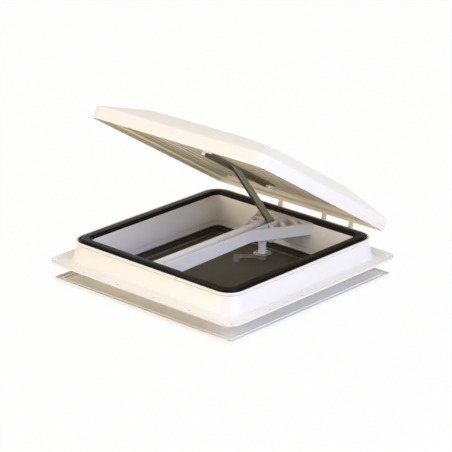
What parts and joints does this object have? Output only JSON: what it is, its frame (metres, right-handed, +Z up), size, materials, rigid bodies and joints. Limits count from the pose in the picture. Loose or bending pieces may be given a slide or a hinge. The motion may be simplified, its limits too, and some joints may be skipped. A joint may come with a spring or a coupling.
{
  "type": "crank-operated camper roof skylight",
  "caption": "Square camper roof skylight whose rear-hinged lid is raised by a geared lift arm and a crank, with rubber rim seal, fly screen and inner trim.",
  "frame": {"origin": "middle of the opening at the room-side face of the inner trim", "axes": "+Z up out of the roof, +Y towards the hinge side, X along the hinge"},
  "size_m": [0.5, 0.503, 0.3455],
  "materials": {
    "white_abs": "moulded white ABS, satin gloss",
    "beige_abs": "moulded warm white ABS, fine satin",
    "trim_abs": "moulded white ABS",
    "black_rubber": "smooth black rubber",
    "zinc_steel": "zinc-plated steel",
    "arm_steel": "plain rolled steel",
    "chrome_disc": "bright chrome",
    "acetal": "white acetal",
    "brown_aluminium": "dark brown powder-coated aluminium",
    "mesh_fabric": "coated fibre mesh"
  },
  "bodies": {
    "frame": {"outer_frame": "white_abs", "rim_seal": "black_rubber", "hinge_brackets": "white_abs", "bracket_rivets": "zinc_steel", "hinge_pins": "zinc_steel", "operator_beam": "white_abs", "beam_screws": "zinc_steel", "gear_housing": "white_abs", "housing_screws": "zinc_steel", "worm_bushings": "acetal", "rosette": "chrome_disc", "arm_pivot_pin": "zinc_steel", "inner_trim": "trim_abs", "trim_clips": "trim_abs", "screen_frame": "brown_aluminium", "fly_screen": "mesh_fabric", "screen_spline": "black_rubber"},
    "lid": {"lid_dome": "white_abs", "lid_liner": "beige_abs", "liner_screws": "zinc_steel", "hinge_leaves": "white_abs", "leaf_screws": "zinc_steel", "lid_track": "beige_abs", "track_caps": "beige_abs", "track_screws": "zinc_steel"},
    "arm": {"lift_arm": "arm_steel", "sector_gear": "zinc_steel", "gear_rivets": "zinc_steel", "tip_pin": "zinc_steel"},
    "slider": {"slider_shoe": "acetal"},
    "crank": {"worm_shaft": "zinc_steel", "crank_handle": "white_abs", "crank_screw": "zinc_steel", "knob_stud": "zinc_steel"},
    "knob": {"crank_knob": "white_abs"}
  },
  "joints": [
    {"name": "lid_hinge", "type": "hinge", "parent": "frame", "child": "lid", "pos_m": [0, 0.24, 0.062], "axis": [-1, 0, 0], "range_deg": [-31.5, 4.5]},
    {"name": "arm_pivot", "type": "hinge", "parent": "frame", "child": "arm", "pos_m": [0, 0.141, 0.06], "axis": [-1, 0, 0], "range_deg": [-45.67, 6.53]},
    {"name": "shoe_pivot", "type": "hinge", "parent": "arm", "child": "slider", "pos_m": [0, 0.02419, 0.23799], "axis": [-1, 0, 0], "range_deg": [-2.02, 14.18]},
    {"name": "crank_turn", "type": "hinge", "parent": "frame", "child": "crank", "pos_m": [0, 0.119, 0.03], "axis": [0, 0, -1], "range_deg": [-913.5, 130.5]},
    {"name": "knob_spin", "type": "hinge", "parent": "crank", "child": "knob", "pos_m": [-0.0387, 0.083, 0.005], "axis": [0, 0, 1], "continuous": true}
  ],
  "couplings": [
    {"joint": "arm_pivot", "follows": "lid_hinge", "ratio": 1.45},
    {"joint": "shoe_pivot", "follows": "lid_hinge", "ratio": -0.45},
    {"joint": "crank_turn", "follows": "lid_hinge", "ratio": 29}
  ]
}
